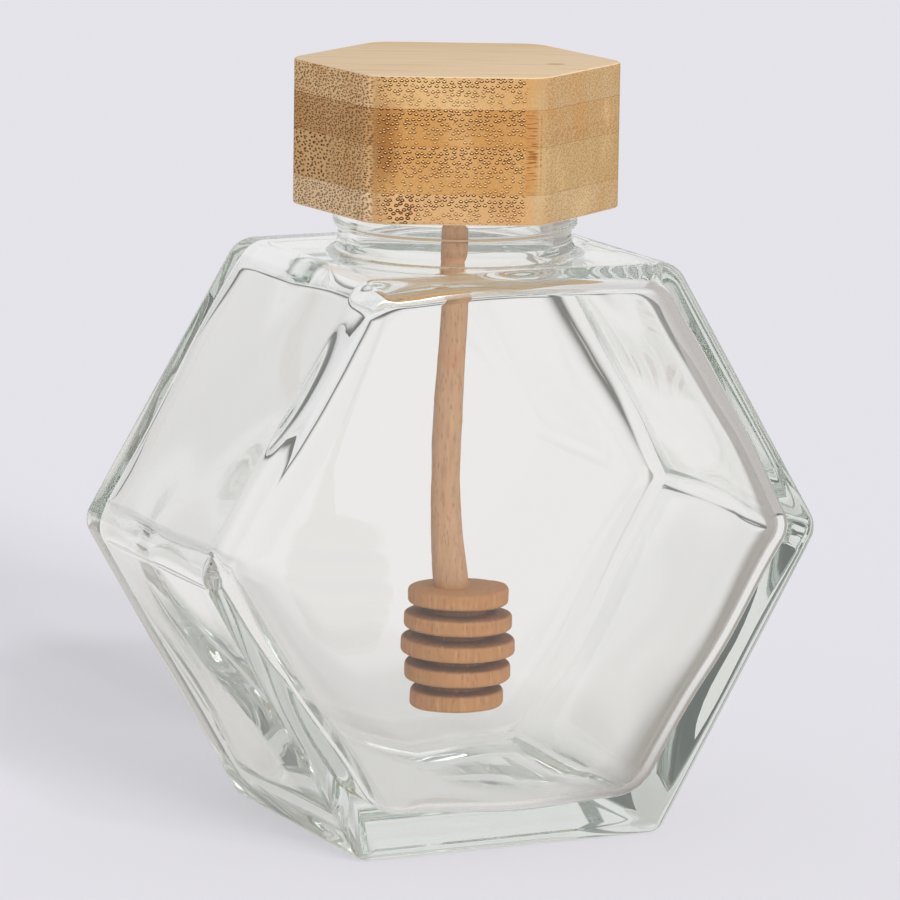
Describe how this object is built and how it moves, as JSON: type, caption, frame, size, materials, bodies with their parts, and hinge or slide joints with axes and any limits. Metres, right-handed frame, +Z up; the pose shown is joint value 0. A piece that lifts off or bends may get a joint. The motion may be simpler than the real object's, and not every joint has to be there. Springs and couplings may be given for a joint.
{
  "type": "honey pot",
  "caption": "Empty hexagonal clear glass honey pot with a round neck, a hexagonal bamboo lid and a turned wooden honey dipper hanging inside.",
  "frame": {"origin": "middle of the flat base, on the surface the pot stands on", "axes": "+Z up, +X along the width of the hexagon, -Y out of the front hexagonal face"},
  "size_m": [0.112, 0.0548, 0.1289],
  "materials": {
    "clear_glass": "clear soda-lime glass, faintly green where it is thick, fire-polished",
    "bamboo": "laminated bamboo, four plies, end grain on the sides, sanded matt",
    "turned_wood": "fine-grained turned beech, bare and matt"
  },
  "bodies": {
    "root": {"glass_jar": "clear_glass", "bamboo_lid": "bamboo", "wooden_dipper": "turned_wood"}
  },
  "joints": []
}
